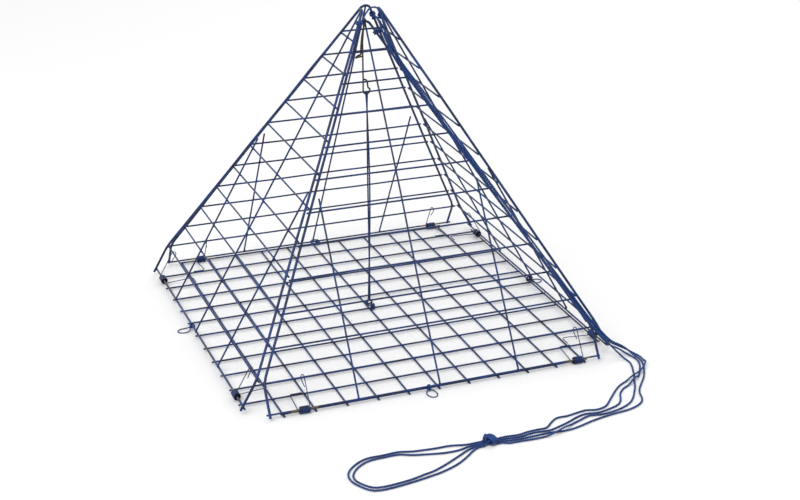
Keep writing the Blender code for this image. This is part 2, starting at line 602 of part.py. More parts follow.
def hook_route():
    """Eye, shank inside the pyramid, bend over the apex, leg down the face and curl round a cross wire."""
    frame = hinge_frame("front")
    across = Vector((1.0, 0.0, 0.0))
    back = Vector((0.0, 1.0, 0.0))
    up = Vector((0.0, 0.0, 1.0))
    rise = frame.to_3x3() @ back
    normal = frame.to_3x3() @ up
    apex = frame @ Vector((0.0, APEX_CENTRE + APEX_RADIUS, ROD_OFF))
    shank_y = apex.y + HOOK_BEND
    eye = Vector((EYE_X, shank_y, EYE_HEIGHT + EYE_RADIUS))
    route = [eye + bend for bend in HOOK_TAIL]
    route += arc(eye, across, -up, EYE_RADIUS, *EYE_TURN, RING_STEPS)
    route += [eye + Vector((-EYE_RADIUS, 0.0, EYE_NECK)), Vector((SHANK_X, shank_y, apex.z - SHANK_END))]
    route += arc(apex, back, up, HOOK_BEND, 0.0, BEND_TURN, RING_STEPS // 2 + 1)
    row = frame @ Vector((0.0, SHOULDER + TOP_ROW * ROW_STEP, 0.0))
    on_rod = row + normal * (ROD_OFF + ROD_FLAT + GAP + HOOK_WIRE / 2)
    route += [on_rod + across * bend.x + rise * bend.y for bend in HOOK_LEG]
    under_wire = row - rise * (MESH_POINT + GAP + HOOK_WIRE / 2)
    return route + [under_wire + across * bend.x - rise * bend.y + normal * bend.z for bend in HOOK_CURL]


# Top of the closing cord's ring through its knot, back and up, in radii of the ring
CLOSURE_RING_TOP = ((-1.0, 1.2), (0.2, 3.0), (1.1, 1.4))


def build_closure(dark_steel, cord):
    """The hook, its doubled cord from the eye down, and the knot that holds the cord to a base wire."""
    route = hook_route()
    print("closure_hook least gap to itself, mm:", round(least_gap(route, HOOK_WIRE) / MM, 3))
    tube("closure_hook", route, HOOK_WIRE, 1, dark_steel)
    half_turn = RING_STEPS // 2 + 1
    eye_low = Vector((EYE_X, route[2].y, EYE_HEIGHT))
    back = Vector((0.0, 1.0, 0.0))
    up = Vector((0.0, 0.0, 1.0))
    top = arc(eye_low, back, up, HOOK_WIRE / 2 + GAP + CLOSURE_CORD / 2, 0.0, pi, half_turn)
    knot_top = CLOSURE_KNOT + up * (CLOSURE_KNOT_SIZE.z / 2 + GAP)
    first = knot_top + back * CLOSURE_LEG_GAP
    second = knot_top - back * CLOSURE_LEG_GAP
    route = smooth_route([first, (first + top[0]) / 2 + CLOSURE_BOW], CLOSURE_STEP) + top
    route += smooth_route([(second + top[-1]) / 2 - CLOSURE_BOW, second], CLOSURE_STEP)
    tube("closure_cord", route, CLOSURE_CORD, 2, cord)
    body = lump_object("closure_knot", CLOSURE_KNOT, CLOSURE_KNOT_SIZE, cord)
    radius = MESH_POINT + SNUG + TIE_CORD / 2
    beside_wire = Vector((MESH_WIRE / 2 + GAP + TIE_CORD, 0.0, UPPER_Z))
    ring = arc(beside_wire, back, -up, radius, 0.0, pi, half_turn)
    ring += [beside_wire + (back * share_back + up * share_up) * radius
             for share_back, share_up in CLOSURE_RING_TOP]
    weld(body, tube_object("closure_knot_ring", ring, TIE_CORD, RING_SIDES, True))


def build():
    clear_scene()
    coating = paint("blue coating", (0.02, 0.09, 0.33), 0.35)
    dark_steel = paint("dark hook wire", (0.05, 0.04, 0.035), 0.45, 0.6)
    cord = paint("blue cord", (0.03, 0.10, 0.38), 0.8)
    build_base(coating)
    for side in SIDES:
        build_point(side, coating)
        build_tie(side, cord)
        build_apex_knot(side, cord)
    build_springs(coating)
    build_closure(dark_steel, cord)
    build_harness(cord)


build()
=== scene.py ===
"""Star crab trap, closed to a pyramid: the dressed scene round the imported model, in metres."""
from math import atan, cos, pi, radians, sin

import bmesh
import bpy
from mathutils import Matrix, Vector, noise


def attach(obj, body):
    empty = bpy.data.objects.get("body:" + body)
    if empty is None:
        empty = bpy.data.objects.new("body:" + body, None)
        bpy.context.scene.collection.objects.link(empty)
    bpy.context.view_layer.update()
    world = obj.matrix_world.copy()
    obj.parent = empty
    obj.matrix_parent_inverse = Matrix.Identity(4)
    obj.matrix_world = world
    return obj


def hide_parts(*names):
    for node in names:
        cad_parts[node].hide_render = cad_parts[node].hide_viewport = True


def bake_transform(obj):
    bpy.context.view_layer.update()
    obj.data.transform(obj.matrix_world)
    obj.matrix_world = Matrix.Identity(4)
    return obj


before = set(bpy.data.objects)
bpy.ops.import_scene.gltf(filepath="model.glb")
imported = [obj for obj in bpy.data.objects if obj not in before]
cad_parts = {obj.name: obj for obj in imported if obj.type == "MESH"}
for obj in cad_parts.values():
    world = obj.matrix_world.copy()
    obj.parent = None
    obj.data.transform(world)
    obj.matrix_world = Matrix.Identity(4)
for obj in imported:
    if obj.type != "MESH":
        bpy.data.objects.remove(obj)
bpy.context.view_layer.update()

# Studio. The camera stands in front of the trap and to its left, at the angle of the photograph, over a
# plain white floor, with one broad soft lamp at the left and a weaker one behind on the right.
CAMERA_PLACE = (-0.43487, -1.16115, 0.58521)
CAMERA_TURN = (66.907, -0.362, -21.543)
LENS = 71.431
FLOOR_RADIUS = 9.0
FLOOR_WHITE = 1.0
FLOOR_BOUNCE = 0.5
SKY_LEVEL = 0.62
LAMPS = (("key_lamp", (-1.3, -1.1, 2.0), 2.2, 34.0), ("back_lamp", (1.3, 1.2, 1.7), 1.6, 12.0))


def fill_sockets(tree, node, sockets):
    """Links other nodes' outputs to a node's sockets, or sets plain values."""
    for key, value in sockets.items():
        if isinstance(value, bpy.types.NodeSocket):
            tree.links.new(value, node.inputs[key])
        else:
            node.inputs[key].default_value = value


def add_node(tree, kind, sockets=None, **settings):
    """A material node, with its settings and with what goes into its sockets."""
    node = tree.nodes.new(kind)
    for key, value in settings.items():
        setattr(node, key, value)
    fill_sockets(tree, node, sockets or {})
    return node


def seen_directly(tree):
    """1 where a ray comes from the camera, a reflection or a clear body, and 0 for light that bounces."""
    ray = add_node(tree, "ShaderNodeLightPath")
    first = add_node(tree, "ShaderNodeMath", {0: ray.outputs["Is Camera Ray"], 1: ray.outputs["Is Glossy Ray"]},
                     operation="MAXIMUM")
    return add_node(tree, "ShaderNodeMath", {0: first.outputs[0], 1: ray.outputs["Is Transmission Ray"]},
                    operation="MAXIMUM").outputs[0]


camera_data = bpy.data.cameras.new("camera")
camera_data.sensor_width = 36.0
camera_data.lens = LENS
camera = bpy.data.objects.new("camera", camera_data)
camera.location = CAMERA_PLACE
camera.rotation_euler = [radians(turn) for turn in CAMERA_TURN]
bpy.context.scene.collection.objects.link(camera)
bpy.context.scene.camera = camera
bpy.context.scene.view_settings.view_transform = "Standard"

for lamp_name, lamp_place, lamp_size, lamp_power in LAMPS:
    lamp_data = bpy.data.lights.new(lamp_name, "AREA")
    lamp_data.shape = "DISK"
    lamp_data.size = lamp_size
    lamp_data.energy = lamp_power
    lamp = bpy.data.objects.new(lamp_name, lamp_data)
    lamp.location = lamp_place
    lamp.rotation_euler = Vector(lamp_place).to_track_quat("Z", "Y").to_euler()
    bpy.context.scene.collection.objects.link(lamp)

world = bpy.data.worlds.new("studio")
world.use_nodes = True
bpy.context.scene.world = world
sky_level = add_node(world.node_tree, "ShaderNodeMapRange",
                     {"Value": seen_directly(world.node_tree), "To Min": SKY_LEVEL, "To Max": 1.0})
fill_sockets(world.node_tree, world.node_tree.nodes["Background"],
             {"Color": (1.0, 1.0, 1.0, 1.0), "Strength": sky_level.outputs["Result"]})

floor_mesh = bpy.data.meshes.new("floor")
bm = bmesh.new()
bmesh.ops.create_circle(bm, cap_ends=True, segments=48, radius=FLOOR_RADIUS)
bm.to_mesh(floor_mesh)
bm.free()
floor = bpy.data.objects.new("floor", floor_mesh)
bpy.context.scene.collection.objects.link(floor)
floor_paper = bpy.data.materials.new("white paper")
floor_paper.use_nodes = True
paper_tone = add_node(floor_paper.node_tree, "ShaderNodeMix",
                      {0: seen_directly(floor_paper.node_tree), 6: (FLOOR_BOUNCE,) * 3 + (1.0,),
                       7: (FLOOR_WHITE,) * 3 + (1.0,)}, data_type="RGBA")
fill_sockets(floor_paper.node_tree, floor_paper.node_tree.nodes["Principled BSDF"],
             {"Base Color": paper_tone.outputs[2], "Roughness": 1.0, "Specular IOR Level": 0.0})
floor_mesh.materials.append(floor_paper)

# Base. A square of steel mesh wire, welded where the wires cross and then dipped in blue plastic, with an
# edge wire along each side and its four corner cells left out. It lies on its lower layer of wires. The
# springs have rubbed the plastic off the edge wires beside them.
MM = 0.001
CELL = 25.4 * MM
CELLS = 12
HALF = CELL * CELLS / 2
EDGE_STUB = 2.5 * MM
MESH_WIRE = 1.48 * MM
WIRE_SIDES = 12
WIRE_STEP = 9.0 * MM
WIRE_END = 0.18 * MM            # rounding of a cut end
END_PLUMP = 0.72                # thickness of a cut end, as a share of the wire
COAT_UNEVEN = 0.035             # how much the coating swells and thins, as a share
COAT_SCALE = 160.0
FINE_STEP = 2.5 * MM            # step of a wire that has rubbed stretches
LOWER_Z = 0.75 * MM
UPPER_Z = 2.06 * MM
SIDE_EDGE_Z = 3.24 * MM
SIDES = ("front", "right", "back", "left")
EDGE_Z = {"front": 2.015 * MM, "right": 3.242 * MM, "back": 2.015 * MM, "left": 3.242 * MM}
WELD_BEAD = Vector((1.06, 1.06, 0.8)) * MM
BASE_WANDER = 0.3 * MM
WANDER_SCALE = 15.0
WANDER_FADE = 30.0 * MM
WANDER_SEED = 1
RUBBED_RUN = 14.0 * MM          # bare stretch of the edge wire on each side of a spring
SHARP_ANGLE = 55.0
FLAKE_START = 0.72              # from where on the rubbed plastic comes off
COIL_LENGTH = 7.8 * MM
# For each spring: side, place along that edge, which way its base arm turns, and which end carries that arm
SPRINGS = {
    "front_left_spring": ("front", -(4 * CELL + 8.9 * MM), 1, -1),
    "front_right_spring": ("front", 4 * CELL + 19.4 * MM, 1, -1),
    "right_front_spring": ("right", -(4 * CELL + 15.7 * MM), -1, 1),
    "right_back_spring": ("right", 4 * CELL + 15.7 * MM, -1, 1),
    "back_right_spring": ("back", -(4 * CELL + 18.2 * MM), 1, -1),
    "back_left_spring": ("back", 4 * CELL + 7.4 * MM, 1, 1),
    "left_back_spring": ("left", -(4 * CELL + 15.7 * MM), 1, 1),
    "left_front_spring": ("left", 4 * CELL + 12.7 * MM, -1, -1),
}


def smooth_step(low, high, value):
    """0 up to the low value, 1 from the high value on, and a smooth rise between them."""
    share = min(1.0, max(0.0, (value - low) / (high - low)))
    return share * share * (3 - 2 * share)


def stepped(corners, step):
    """The same broken line with a place at about every step."""
    route = [corners[0].copy()]
    for a, b in zip(corners, corners[1:]):
        count = max(1, round((b - a).length / step))
        route += [a.lerp(b, k / count) for k in range(1, count + 1)]
    return route


def carried(route, lay=0.0):
    """A frame at each place of a route, carried along it without roll and turned once in each lay."""
    frames = []
    side = None
    turn = 0.0
    for i, place in enumerate(route):
        ahead = route[min(i + 1, len(route) - 1)]
        behind = route[max(i - 1, 0)]
        along = (ahead - behind).normalized()
        if side is None:
            side = along.orthogonal().normalized()
        side = (side - along * side.dot(along)).normalized()
        if lay and i:
            turn += 2 * pi * (place - behind).length / lay
        across = Matrix.Rotation(turn, 3, along) @ side
        axes = Matrix((across, along.cross(across), along)).transposed()
        frames.append(Matrix.Translation(place) @ axes.to_4x4())
    return frames


def straight_bar(radius, sides, rings, off):
    """A circle drawn straight up and closed at both ends, with a ring at each whole number of height."""
    bar = bmesh.new()
    bmesh.ops.create_circle(bar, segments=sides, radius=radius, matrix=Matrix.Translation((*off, 0.0)))
    drawn = bmesh.ops.extrude_edge_only(bar, edges=bar.edges[:])["geom"]
    bmesh.ops.translate(bar, vec=(0, 0, 1), verts=[spot for spot in drawn if isinstance(spot, bmesh.types.BMVert)])
    height = 1
    while height < rings - 1:
        copied = bmesh.ops.duplicate(bar, geom=bar.verts[:] + bar.edges[:] + bar.faces[:])["geom"]
        spots = [spot for spot in copied if isinstance(spot, bmesh.types.BMVert)]
        bmesh.ops.translate(bar, vec=(0, 0, height), verts=spots)
        height *= 2
    bmesh.ops.remove_doubles(bar, verts=bar.verts, dist=1e-6)
    past_end = [spot for spot in bar.verts if spot.co.z > rings - 0.5]
    bmesh.ops.delete(bar, geom=past_end, context="VERTS")
    bmesh.ops.holes_fill(bar, edges=[edge for edge in bar.edges if edge.is_boundary], sides=sides)
    return bar


def sweep(bm, frames, radius, sides, marks=None, off=(0.0, 0.0)):
    """A bar laid along a row of frames, off their middle if asked. Marks are a layer's name and its value
    by ring and by distance from the middle."""
    bar = straight_bar(radius, sides, len(frames), off)
    layer = bar.verts.layers.float.new(marks[0]) if marks else None
    for spot in bar.verts:
        ring = round(spot.co.z)
        if marks:
            spot[layer] = marks[1](ring, spot.co.xy.length)
        spot.co = frames[ring] @ Vector((spot.co.x, spot.co.y, 0.0))
    mesh = bpy.data.meshes.new("bar")
    bar.to_mesh(mesh)
    bar.free()
    bm.from_mesh(mesh)
    bpy.data.meshes.remove(mesh)


def draw_wire(bm, corners, diameter, wander=None, bare=None, step=WIRE_STEP):
    """A coated wire along a broken line, a little uneven in its plastic, with rounded ends."""
    route = stepped(corners, step)
    if wander:
        route = [wander(place) for place in route]
    first_end = (route[0] - route[1]).normalized() * WIRE_END
    last_end = (route[-1] - route[-2]).normalized() * WIRE_END
    route = [route[0], route[0] - first_end, *route[1:-1], route[-1] - last_end, route[-1]]
    frames = carried(route)
    rubbed = [bare(place) if bare else 0.0 for place in route]
    for i, place in enumerate(route):
        plump = 1.0 + COAT_UNEVEN * noise.noise(place * COAT_SCALE)
        if i in (0, len(route) - 1):
            plump = END_PLUMP
        frames[i] = frames[i] @ Matrix.Diagonal((plump, plump, 1.0, 1.0))
    sweep(bm, frames, diameter / 2, WIRE_SIDES, ("bare", lambda ring, reach: rubbed[ring]))


def add_bead(bm, place, size=WELD_BEAD):
    """The plastic that gathers round a weld."""
    made = bmesh.ops.create_uvsphere(bm, u_segments=8, v_segments=5, radius=1.0)["verts"]
    bmesh.ops.scale(bm, vec=size, verts=made)
    bmesh.ops.translate(bm, vec=place, verts=made)


def finish_piece(bm, name, finish):
    """A mesh piece at the origin with its faces turned outwards."""
    bmesh.ops.recalc_face_normals(bm, faces=bm.faces)
    mesh = bpy.data.meshes.new(name)
    bm.to_mesh(mesh)
    bm.free()
    mesh.shade_smooth()
    mesh.set_sharp_from_angle(angle=radians(SHARP_ANGLE))
    mesh.materials.append(finish)
    piece = bpy.data.objects.new(name, mesh)
    bpy.context.scene.collection.objects.link(piece)
    return piece


def turned(side, along, out, height):
    """A place at one edge: along it to the right seen from outside, out past the edge wire, and up."""
    return Matrix.Rotation(SIDES.index(side) * pi / 2, 3, "Z") @ Vector((along, -HALF - out, height))


def spring_places(side):
    """Where the springs of one edge stand along it."""
    return [place for spring_side, place, *_ in SPRINGS.values() if spring_side == side]


def rubbed_edge(side):
    """How bare an edge wire is at a place, by the springs that sit on it."""
    axis = Matrix.Rotation(SIDES.index(side) * pi / 2, 3, "Z") @ Vector((1.0, 0.0, 0.0))

    def bare(place):
        past = min(abs(place.dot(axis) - spot) for spot in spring_places(side)) - COIL_LENGTH / 2
        return 1.0 - smooth_step(RUBBED_RUN * 0.4, RUBBED_RUN, past)
    return bare


def settled(place):
    """The slight wander of a base wire, the same for all wires that meet at one place."""
    inside = (HALF - max(abs(place.x), abs(place.y))) / WANDER_FADE
    drift = noise.noise_vector(place * WANDER_SCALE) * BASE_WANDER * min(1.0, max(0.0, inside))
    return place + Vector((drift.x, drift.y, 0.0))


def new_finish(name):
    """A new material, with its node tree, its shader and the place on the object that patterns read."""
    made = bpy.data.materials.new(name)
    made.use_nodes = True
    tree = made.node_tree
    return made, tree, tree.nodes["Principled BSDF"], add_node(tree, "ShaderNodeTexCoord").outputs["Object"]


def ramp(tree, value, low, low_colour, high, high_colour):
    """A colour that goes from one to another as a value goes from low to high."""
    made = add_node(tree, "ShaderNodeValToRGB", {0: value})
    for element, position, colour in zip(made.color_ramp.elements, (low, high), (low_colour, high_colour)):
        element.position = position
        element.color = (*colour, 1.0)
    return made.outputs[0]


def blue_coating(name, deep, bright, rough):
    """Dipped blue plastic: cloudy in colour, satin, finely uneven, and gone where it has rubbed off."""
    made, tree, shader, place = new_finish(name)
    cloud = add_node(tree, "ShaderNodeTexNoise", {"Vector": place, "Scale": 70.0, "Detail": 4.0})
    grain = add_node(tree, "ShaderNodeTexNoise", {"Vector": place, "Scale": 900.0, "Detail": 3.0})
    tone = ramp(tree, cloud.outputs[0], 0.36, deep, 0.64, bright)
    rubbed = add_node(tree, "ShaderNodeAttribute", attribute_name="bare").outputs["Fac"]
    flaked = add_node(tree, "ShaderNodeMath", {0: grain.outputs[0], 1: FLAKE_START}, operation="ADD")
    shown = add_node(tree, "ShaderNodeMath", {0: rubbed, 1: flaked.outputs[0]}, operation="MULTIPLY")
    steel = add_node(tree, "ShaderNodeMapRange",
                     {"Value": shown.outputs[0], "From Min": FLAKE_START, "From Max": 0.86})
    steel_tone = ramp(tree, grain.outputs[0], 0.3, (0.055, 0.045, 0.038), 0.7, (0.21, 0.20, 0.19))
    colour = add_node(tree, "ShaderNodeMix", {0: steel.outputs[0], 6: tone, 7: steel_tone}, data_type="RGBA")
    gloss = add_node(tree, "ShaderNodeMapRange", {"Value": cloud.outputs[0], "From Min": 0.3, "From Max": 0.7,
                                                  "To Min": rough - 0.08, "To Max": rough + 0.12})
    bump = add_node(tree, "ShaderNodeBump", {"Height": grain.outputs[0], "Strength": 0.25, "Distance": 0.0002})
    fill_sockets(tree, shader, {"Base Color": colour.outputs[2], "Metallic": steel.outputs[0],
                                "Specular IOR Level": 0.35, "Roughness": gloss.outputs[0],
                                "Normal": bump.outputs[0]})
    return made


mesh_coating = blue_coating("blue coating", (0.003, 0.012, 0.056), (0.007, 0.042, 0.195), 0.32)

noise.seed_set(WANDER_SEED)     # without it the wander would differ from run to run
last = CELLS // 2
long_end = HALF + EDGE_STUB
short_end = HALF - CELL + EDGE_STUB
bm = bmesh.new()
for k in range(-last + 1, last):
    place = k * CELL
    draw_wire(bm, [Vector((place, -long_end, LOWER_Z)), Vector((place, long_end, LOWER_Z))], MESH_WIRE, settled)
    draw_wire(bm, [Vector((-long_end, place, UPPER_Z)), Vector((long_end, place, UPPER_Z))], MESH_WIRE, settled)
for side, height in (("front", UPPER_Z), ("right", SIDE_EDGE_Z), ("back", UPPER_Z), ("left", SIDE_EDGE_Z)):
    draw_wire(bm, [turned(side, -short_end, 0.0, height), turned(side, short_end, 0.0, height)], MESH_WIRE,
              None, rubbed_edge(side), FINE_STEP)
for column in range(-last, last + 1):
    for row in range(-last, last + 1):
        if abs(column) == last and abs(row) == last:
            continue
        above = SIDE_EDGE_Z if abs(column) == last else LOWER_Z
        add_bead(bm, settled(Vector((column * CELL, row * CELL, (above + UPPER_Z) / 2))))
base_mesh = finish_piece(bm, "base_mesh", mesh_coating)
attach(base_mesh, "base")
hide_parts("base_grid")

# Points. Each point of the star is a bent outline rod with mesh wire welded inside it: cross wires on the
# inner side, a long upright in the middle and two short ones. All of it is dipped in the same blue plastic.
# The bottom cross wire is the hinge, and turns inside the springs and the cord tie.
AXIS_OUT = 1.2 * MM
AXIS_RISE = 1.83 * MM
LEANS = {"front": radians(56.0), "right": radians(60.4), "back": radians(61.0), "left": radians(60.4)}
SLOPE = cos(LEANS["right"])     # how fast a point narrows up its face
TAPER = atan(SLOPE)
FOOT_WIDTH = HALF + AXIS_OUT - 3.3 * MM
SHOULDER = 23.9 * MM
SHOULDER_WIDTH = FOOT_WIDTH - SHOULDER * SLOPE
ROW_STEP = 25.0 * MM
TOP_ROW = 10
ROD_WIRE = 2.1 * MM
ROD_FOOT = 3.0 * MM
TIP_REACH = 1.2 * MM
APEX_RADIUS = 4.5 * MM
APEX_CENTRE = (FOOT_WIDTH - APEX_RADIUS / cos(TAPER)) / SLOPE
UPRIGHT_OFF = 1.377 * MM
ROD_OFF = 1.666 * MM
SHORT_UPRIGHT_PLACE = 67.3 * MM
SHORT_UPRIGHT_TOP = SHOULDER + 5 * ROW_STEP + 10.0 * MM
POINT_WANDER = Vector((0.5, 0.4, 0.5)) * MM
WANDER_START = (26.0 * MM, 70.0 * MM)       # heights on the face between which the wander grows
WANDER_STOP = (225.0 * MM, 262.0 * MM)      # and between which it fades
ELBOW_RADIUS = 7.0 * MM
ROD_BEAD = Vector((1.25, 1.0, 0.95)) * MM
ROD_BEAD_OFF = ROD_OFF * 0.42
HINGE_BEAD_LIFT = 0.5 * MM      # keeps these beads off the edge wire when the point is open


def rod_width(height):
    """Half the width of a point at a height up its face."""
    return SHOULDER_WIDTH if height < SHOULDER else FOOT_WIDTH - height * SLOPE


def hinge_frame(side):
    """Turns a point's own frame, across it, up its face and out of its face, to where the point stands."""
    quarter = Matrix.Rotation(SIDES.index(side) * pi / 2, 4, "Z")
    axis = Matrix.Translation((0, -HALF - AXIS_OUT, EDGE_Z[side] + AXIS_RISE))
    return quarter @ axis @ Matrix.Rotation(LEANS[side], 4, "X")


def rounded(corners, radius, steps=5):
    """A broken line with its inner corners rounded."""
    route = [corners[0]]
    for before, corner, after in zip(corners, corners[1:], corners[2:]):
        back = (before - corner).normalized() * radius
        ahead = (after - corner).normalized() * radius
        route += [(corner + back).lerp(corner, t).lerp(corner.lerp(corner + ahead, t), t)
                  for t in (k / steps for k in range(steps + 1))]
    return route + [corners[-1]]


def outline_route():
    """The bent rod: up one side, round the apex and down the other."""
    count = 14
    bend = [Vector((APEX_RADIUS * sin(a), APEX_CENTRE + APEX_RADIUS * cos(a), ROD_OFF))
            for a in (-(pi / 2 - TAPER) + (pi - 2 * TAPER) * k / count for k in range(count + 1))]
    left = rounded([Vector((-SHOULDER_WIDTH, -ROD_FOOT, ROD_OFF)), Vector((-SHOULDER_WIDTH, SHOULDER, ROD_OFF)),
                    bend[0]], ELBOW_RADIUS)
    return left[:-1] + bend + [Vector((-p.x, p.y, p.z)) for p in reversed(left[:-1])]


for side in SIDES:
    seed = Vector((SIDES.index(side) * 3.7, 1.3, 0.0))

    def handled(place):
        """The slight wander of a point's wires, none at the hinge and at the apex."""
        free = smooth_step(*WANDER_START, place.y) * (1 - smooth_step(*WANDER_STOP, place.y))
        drift = noise.noise_vector(Vector((place.x, place.y, 0.0)) * WANDER_SCALE + seed) * free
        return place + Vector([a * b for a, b in zip(drift, POINT_WANDER)])

    def bare(place):
        """How bare the hinge wire is at a place."""
        past = min(abs(place.x - spot) for spot in spring_places(side)) - COIL_LENGTH / 2
        return 1.0 - smooth_step(RUBBED_RUN * 0.3, RUBBED_RUN * 0.8, past)

    bm = bmesh.new()
    heights = [0.0] + [SHOULDER + k * ROW_STEP for k in range(TOP_ROW + 1)]
    uprights = ((-SHORT_UPRIGHT_PLACE, SHORT_UPRIGHT_TOP), (0.0, APEX_CENTRE + APEX_RADIUS),
                (SHORT_UPRIGHT_PLACE, SHORT_UPRIGHT_TOP))
    for height in heights:
        width = rod_width(height)
        reach = width + ROD_WIRE / 2 + TIP_REACH
        at_hinge = height == 0.0
        draw_wire(bm, [Vector((-reach, height, 0)), Vector((reach, height, 0))], MESH_WIRE, handled,
                  bare if at_hinge else None, FINE_STEP if at_hinge else WIRE_STEP)
        for hand in (-1, 1):
            add_bead(bm, handled(Vector((hand * width, height, ROD_BEAD_OFF))), ROD_BEAD)
        for across, top in uprights:
            if height < top - MESH_WIRE:
                lift = HINGE_BEAD_LIFT if at_hinge else 0.0
                add_bead(bm, handled(Vector((across, height + lift, UPRIGHT_OFF / 2))))
    for across, top in uprights:
        draw_wire(bm, [Vector((across, 0.0, UPRIGHT_OFF)), Vector((across, top, UPRIGHT_OFF))], MESH_WIRE, handled)
    draw_wire(bm, outline_route(), ROD_WIRE, handled)
    bmesh.ops.transform(bm, matrix=hinge_frame(side), verts=bm.verts)
    point_mesh = finish_piece(bm, side + "_point_mesh", mesh_coating)
    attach(point_mesh, side + "_point")
    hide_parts(side + "_panel")

# Springs. Each is close-wound blue-coated spring wire: a barrel round the edge wire and the hinge wire, a
# base arm that hooks over a mesh wire, and a long arm up the point that ends in a hairpin over the first
# cross wire. The barrel stays with the base.
SPRING_WIRE = 0.78 * MM
COIL_RADIUS = 2.6 * MM
COIL_LIFT = 0.12 * MM
COIL_TURNS = 9
COIL_STEPS = 20
COIL_ENTRY = (0.0, -2.5, 0.3)   # where the base arm leaves, seen from the first place of the barrel, in mm
BASE_ARM_Z = 3.25 * MM
BASE_ARM_TIP = 10.0 * MM
BASE_ARM_BEND = 2.0 * MM
BASE_ARM_RUN = 6.0 * MM
HAIRPIN_RADIUS = 1.62 * MM
HAIRPIN_LEG = 7.5 * MM
HAIRPIN_SPREAD = 1.8 * MM
SPRING_SIDES = 8

spring_coating = blue_coating("blue spring coating", (0.003, 0.012, 0.056), (0.007, 0.040, 0.19), 0.28)
across = Vector((1.0, 0.0, 0.0))
outward = Vector((0.0, 1.0, 0.0))
upward = Vector((0.0, 0.0, 1.0))


def edge_frame(side):
    """Turns a place by the middle of an edge wire, along it and out from it, to where that edge is."""
    quarter = Matrix.Rotation(SIDES.index(side) * pi / 2, 4, "Z") @ Matrix.Diagonal((1.0, -1.0, 1.0, 1.0))
    return quarter @ Matrix.Translation((0.0, HALF, 0.0))


def mm(x, y, z):
    """A place or a shift given in mm."""
    return Vector((x, y, z)) * MM


def arc(centre, first, second, radius, start, end, steps):
    """Places on an arc that turns from one direction towards a second."""
    return [centre + (first * cos(a) + second * sin(a)) * radius
            for a in (start + (end - start) * k / steps for k in range(steps + 1))]


for name, (side, place, tip_turn, base_end) in SPRINGS.items():
    lean = LEANS[side]
    edge = Vector((0.0, 0.0, EDGE_Z[side]))
    axis = edge + Vector((0.0, AXIS_OUT, AXIS_RISE))
    middle = (edge + axis) / 2 + upward * COIL_LIFT
    up_face = Vector((0.0, -cos(lean), sin(lean)))
    off_face = Vector((0.0, sin(lean), cos(lean)))
    start = place + base_end * COIL_LENGTH / 2
    inner = -CELL + BASE_ARM_BEND
    bend_centre = Vector((start + tip_turn * BASE_ARM_BEND, inner, BASE_ARM_Z))
    base_arm = [Vector((start + tip_turn * BASE_ARM_TIP, inner - BASE_ARM_BEND, BASE_ARM_Z))]
    base_arm += arc(bend_centre, -outward, -across * tip_turn, BASE_ARM_BEND, 0.0, pi / 2, 8)
    base_arm.append(Vector((start, -CELL + BASE_ARM_RUN, BASE_ARM_Z)))
    total = 2 * pi * COIL_TURNS + pi - lean
    count = round(total / (2 * pi) * COIL_STEPS)
    coil = [middle + (outward * sin(total * k / count) - upward * cos(total * k / count)) * COIL_RADIUS
            + across * (start - base_end * COIL_LENGTH * k / count) for k in range(count + 1)]
    route = stepped(base_arm + [coil[0] + mm(*COIL_ENTRY)], 1.5 * MM) + coil
    bm = bmesh.new()
    sweep(bm, carried(route), SPRING_WIRE / 2, SPRING_SIDES)
    place_spring = edge_frame(side)
    bmesh.ops.transform(bm, matrix=place_spring, verts=bm.verts)
    barrel = finish_piece(bm, name + "_barrel", spring_coating)
    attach(barrel, "base")

    exit_place = coil[-1]
    face_line = (exit_place - axis).dot(off_face)
    end = exit_place.x
    top = axis + up_face * SHOULDER + off_face * (face_line - HAIRPIN_RADIUS) + across * end
    lie = -base_end
    hairpin = [top + off_face * cos(a) * HAIRPIN_RADIUS + up_face * sin(a) * HAIRPIN_RADIUS * 1.3
               - across * lie * HAIRPIN_SPREAD * (1 - cos(a)) / 2
               for a in (pi * k / 12 for k in range(13))]
    leg = [top - off_face * HAIRPIN_RADIUS * (1 - 0.15 * t) - up_face * HAIRPIN_LEG * t
           - across * lie * HAIRPIN_SPREAD * (1 - 0.85 * t ** 1.5) for t in (k / 6 for k in range(1, 7))]
    tail = coil[-4:-1]
    route = tail + stepped([exit_place, hairpin[0]], 1.2 * MM) + hairpin[1:] + leg
    bm = bmesh.new()
    sweep(bm, carried(route), SPRING_WIRE / 2, SPRING_SIDES)
    bmesh.ops.transform(bm, matrix=place_spring, verts=bm.verts)
    arm = finish_piece(bm, name + "_arm", spring_coating)
    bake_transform(arm)
    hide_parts(name)

# Ties. Halfway along each edge a thin blue cord is tied twice round the edge wire and the hinge wire, and
# its spare end lies outside as a small loop. All cord here is laid from three yarns.
TIE_CORD = 1.0 * MM
TIE_PLACES = {"front": -8.9 * MM, "right": 4.0 * MM, "back": -4.0 * MM, "left": -16.5 * MM}
TIE_LOOP_LENGTH = 11.0 * MM
TIE_LOOP_WIDTH = 8.0 * MM
TIE_KNOT = 1.5 * MM
TURN_GAP = 1.04                 # from one turn of a tie to the next, in diameters
LAY = 3.4                       # lay of a cord, in diameters
LAY_STEPS = 10
YARN_SIDES = 7
CREASE_SHADE_REACH = (0.34, 0.495)      # where the painted crease shade gives way to full colour, in diameters from the cord's middle


def laid_cord(bm, route, diameter):
    """Three yarns twisted round each other along a route, marked by how far they stand out of the cord for the
    painted crease shade.
    """
    lay = diameter * LAY
    frames = carried(stepped(route, lay / LAY_STEPS), lay)
    for k in range(3):
        place = Vector((cos(2 * pi * k / 3), sin(2 * pi * k / 3))) * diameter / 4
        sweep(bm, frames, diameter / 4, YARN_SIDES,
              ("crease_shade", lambda ring, reach: smooth_step(*CREASE_SHADE_REACH, reach / diameter)), place)


